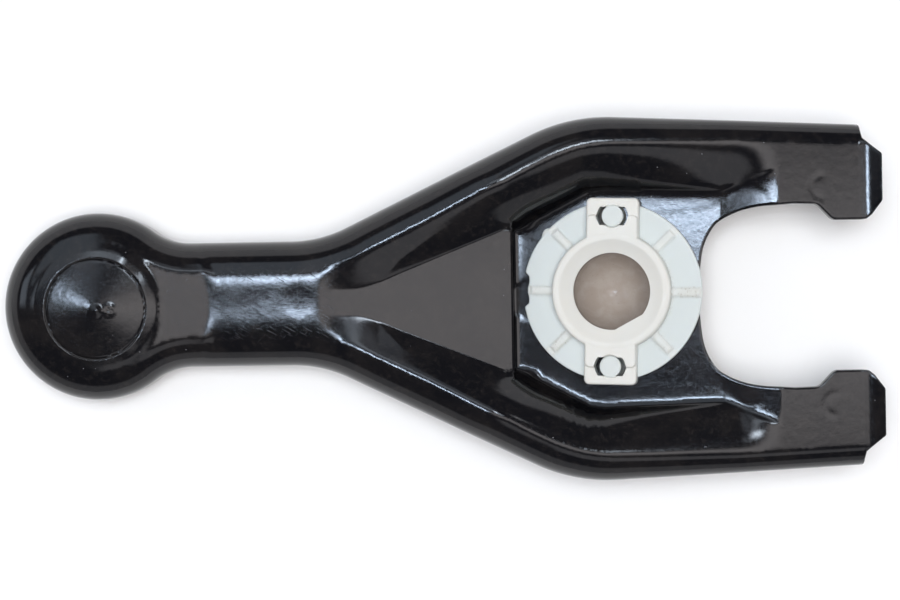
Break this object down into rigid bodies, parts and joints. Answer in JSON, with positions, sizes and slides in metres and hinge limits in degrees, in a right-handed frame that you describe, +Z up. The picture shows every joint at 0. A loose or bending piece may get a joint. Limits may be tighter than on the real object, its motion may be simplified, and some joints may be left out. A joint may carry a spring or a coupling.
{
  "type": "clutch release fork",
  "caption": "Pressed steel clutch release fork: round pushrod boss, flared channel body, two finger ends and a moulded ball-pivot socket clipped into a tilted pad.",
  "frame": {"origin": "centre of the ball seat, which is the point the fork pivots on", "axes": "+X from the pushrod boss towards the finger ends, along the lever; +Y across the lever to the left when looking along +X; +Z up out of the socket's side, square to the flat of the fingers"},
  "size_m": [0.1949, 0.0801, 0.0224],
  "materials": {
    "lever_paint": "gloss",
    "socket_plastic": "satin",
    "liner_plastic": "satin"
  },
  "bodies": {
    "root": {"fork_lever": "lever_paint", "ball_socket": "socket_plastic", "seat_liner": "liner_plastic"}
  },
  "joints": []
}
